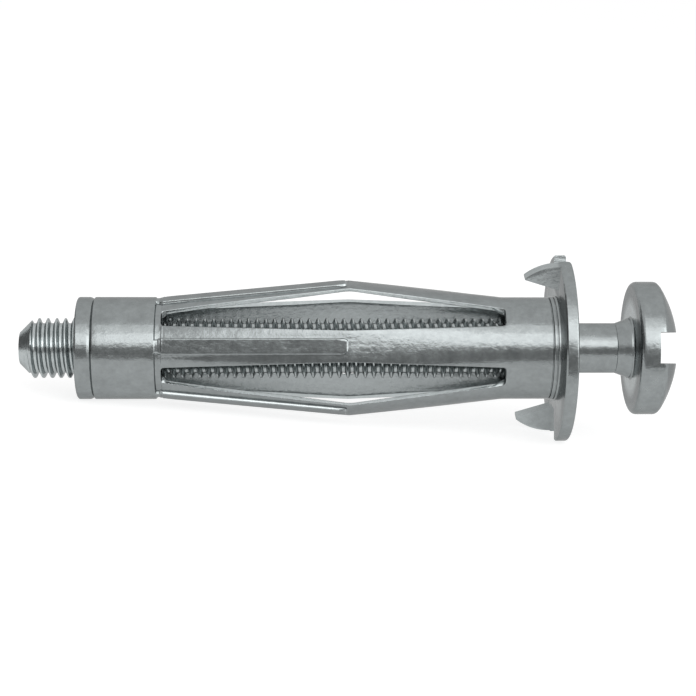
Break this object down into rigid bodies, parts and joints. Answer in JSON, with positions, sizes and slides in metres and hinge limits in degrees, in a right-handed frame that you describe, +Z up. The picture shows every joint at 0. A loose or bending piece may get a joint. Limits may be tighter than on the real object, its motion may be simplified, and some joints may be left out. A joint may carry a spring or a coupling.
{
  "type": "hollow wall anchor",
  "caption": "metal cavity anchor: a slotted sleeve with bent, ribbed legs between a threaded nut and a clawed flange, with a slotted machine screw through it",
  "frame": {"origin": "centre of the bounding box's bottom face, on the surface that the anchor lies on", "axes": "+Z is up; the longest extent runs along X, with the screw's tip at the negative end and its head at the positive end; -Y is the front"},
  "size_m": [0.0668, 0.019, 0.0186],
  "materials": {
    "screw_steel": "bright zinc plating over a rolled thread and a headed, machined head",
    "nut_steel": "bright zinc plating over turned steel",
    "sleeve_steel": "bright, slightly mottled zinc plating over rolled sheet",
    "washer_steel": "bright zinc plating over stamped plate"
  },
  "bodies": {
    "anchor": {"sleeve": "sleeve_steel", "nut": "nut_steel", "claw_washer": "washer_steel"},
    "screw": {"screw": "screw_steel"}
  },
  "joints": [
    {"name": "screw_travel", "type": "slide", "parent": "anchor", "child": "screw", "axis": [0.9964, 0, 0.0851], "range_m": [-0.00655, 0.056]}
  ]
}
